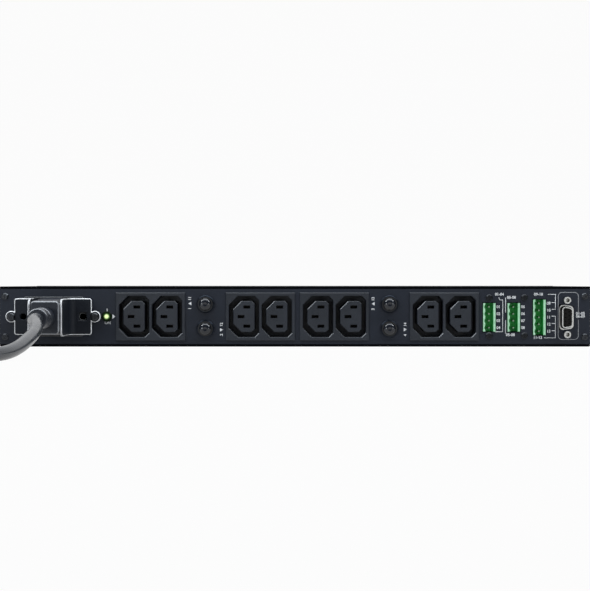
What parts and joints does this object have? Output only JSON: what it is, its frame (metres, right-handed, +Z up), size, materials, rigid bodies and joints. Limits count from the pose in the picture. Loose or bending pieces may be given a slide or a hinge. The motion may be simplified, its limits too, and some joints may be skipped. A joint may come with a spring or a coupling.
{
  "type": "rack power conditioner",
  "caption": "One-unit rack power conditioner with rear outlets, reset breakers, terminal headers, a data socket and a clamped mains cord.",
  "frame": {"origin": "on the surface that the unit stands on, under the middle of its box without the mains cord", "axes": "+Z up, -Y out of the rear panel that carries the outlets, +X to the right of someone who looks at that panel"},
  "size_m": [0.5765, 0.5247, 0.044],
  "materials": {
    "casing_paint": "fine satin powder coat",
    "screw_black": "black oxide",
    "screw_zinc": "zinc plated",
    "bracket_black": "black finish with bright cut edges",
    "outlet_plastic": "moulded, satin",
    "inlet_plastic": "moulded, satin",
    "contact_metal": "nickel plated",
    "connector_plastic": "moulded, satin",
    "cord_sheath": "smooth sheath",
    "breaker_plastic": "moulded",
    "nut_metal": "black satin",
    "button_plastic": "glossy",
    "lamp_glow": "lit, diffused",
    "lamp_holder_plastic": "moulded",
    "header_green": "moulded",
    "shell_nickel": "nickel plated",
    "insert_plastic": "moulded",
    "board_green": "solder resist",
    "relay_plastic": "moulded",
    "choke_winding": "enamelled winding",
    "capacitor_case": "moulded",
    "varistor_coat": "epoxy dipped",
    "transformer_core": "laminated",
    "lead_sheath": "smooth sheath",
    "tie_strap": "moulded"
  },
  "bodies": {
    "unit": {"board_screws": "screw_zinc", "board_standoffs": "screw_zinc", "board_terminals": "header_green", "bracket_left": "bracket_black", "bracket_right": "bracket_black", "bracket_screws": "screw_black", "bracket_spacers": "screw_zinc", "breaker_1": "breaker_plastic", "breaker_2": "breaker_plastic", "breaker_3": "breaker_plastic", "breaker_4": "breaker_plastic", "breaker_leads": "lead_sheath", "breaker_nuts": "nut_metal", "chassis_tray": "casing_paint", "coil_tie": "tie_strap", "control_board": "board_green", "control_board_screws": "screw_black", "control_board_spacers": "screw_zinc", "cord_coil": "cord_sheath", "cord_connector": "connector_plastic", "cord_strain_relief": "connector_plastic", "cord_tail": "cord_sheath", "cover_screws": "screw_black", "data_jackscrews": "shell_nickel", "data_socket_contacts": "contact_metal", "data_socket_insert": "insert_plastic", "data_socket_shell": "shell_nickel", "earth_stud": "screw_zinc", "filter_capacitors": "capacitor_case", "filter_choke": "choke_winding", "front_panel": "casing_paint", "front_panel_screws": "screw_zinc", "header_pins": "contact_metal", "inlet_body": "inlet_plastic", "inlet_leads": "lead_sheath", "inlet_pins": "contact_metal", "lamp_holder": "lamp_holder_plastic", "lamp_lens": "lamp_glow", "mains_plug": "connector_plastic", "mains_plug_pins": "contact_metal", "outlet_contacts": "contact_metal", "outlet_pair_1": "outlet_plastic", "outlet_pair_2": "outlet_plastic", "outlet_pair_3": "outlet_plastic", "outlet_pair_4": "outlet_plastic", "power_board": "board_green", "power_cord": "cord_sheath", "rear_panel": "casing_paint", "rear_panel_screws": "screw_black", "relays": "relay_plastic", "supply_transformer": "transformer_core", "terminal_header_1": "header_green", "terminal_header_2": "header_green", "terminal_header_3": "header_green", "top_cover": "casing_paint", "varistors": "varistor_coat"},
    "reset_button_1": {"reset_button_1": "button_plastic"},
    "reset_button_2": {"reset_button_2": "button_plastic"},
    "reset_button_3": {"reset_button_3": "button_plastic"},
    "reset_button_4": {"reset_button_4": "button_plastic"}
  },
  "joints": [
    {"name": "reset_button_1_slide", "type": "slide", "parent": "unit", "child": "reset_button_1", "axis": [0, -1, 0], "range_m": [0, 0.003]},
    {"name": "reset_button_2_slide", "type": "slide", "parent": "unit", "child": "reset_button_2", "axis": [0, -1, 0], "range_m": [0, 0.003]},
    {"name": "reset_button_3_slide", "type": "slide", "parent": "unit", "child": "reset_button_3", "axis": [0, -1, 0], "range_m": [0, 0.003]},
    {"name": "reset_button_4_slide", "type": "slide", "parent": "unit", "child": "reset_button_4", "axis": [0, -1, 0], "range_m": [0, 0.003]}
  ]
}
